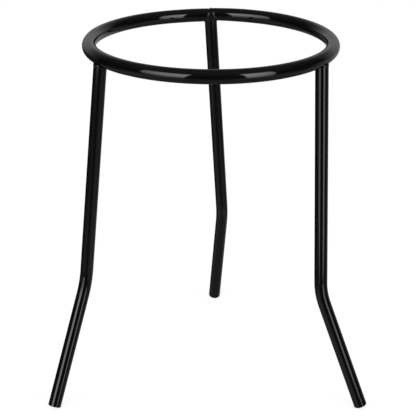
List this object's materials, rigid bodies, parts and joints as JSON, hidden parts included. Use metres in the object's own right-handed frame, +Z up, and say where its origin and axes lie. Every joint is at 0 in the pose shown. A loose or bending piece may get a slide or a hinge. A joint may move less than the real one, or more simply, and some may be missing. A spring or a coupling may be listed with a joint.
{
  "type": "lab tripod stand",
  "caption": "Black enamelled steel rod ring on bent, splayed legs, which holds a gauze or a vessel above a burner.",
  "frame": {"origin": "on the surface that the stand rests on, under the centre of the ring", "axes": "+Z up through the ring, +Y towards the rear leg under the butt weld, +X towards the right leg's side"},
  "size_m": [0.1779, 0.172, 0.2004],
  "materials": {
    "rod_enamel": "gloss black baked enamel on round steel rod, smooth with a faint ripple",
    "weld_enamel": "the same gloss black enamel over uneven weld beads"
  },
  "bodies": {
    "root": {"ring": "rod_enamel", "ring_weld": "weld_enamel", "leg_rear": "rod_enamel", "leg_left": "rod_enamel", "leg_right": "rod_enamel", "weld_rear": "weld_enamel", "weld_left": "weld_enamel", "weld_right": "weld_enamel"}
  },
  "joints": []
}
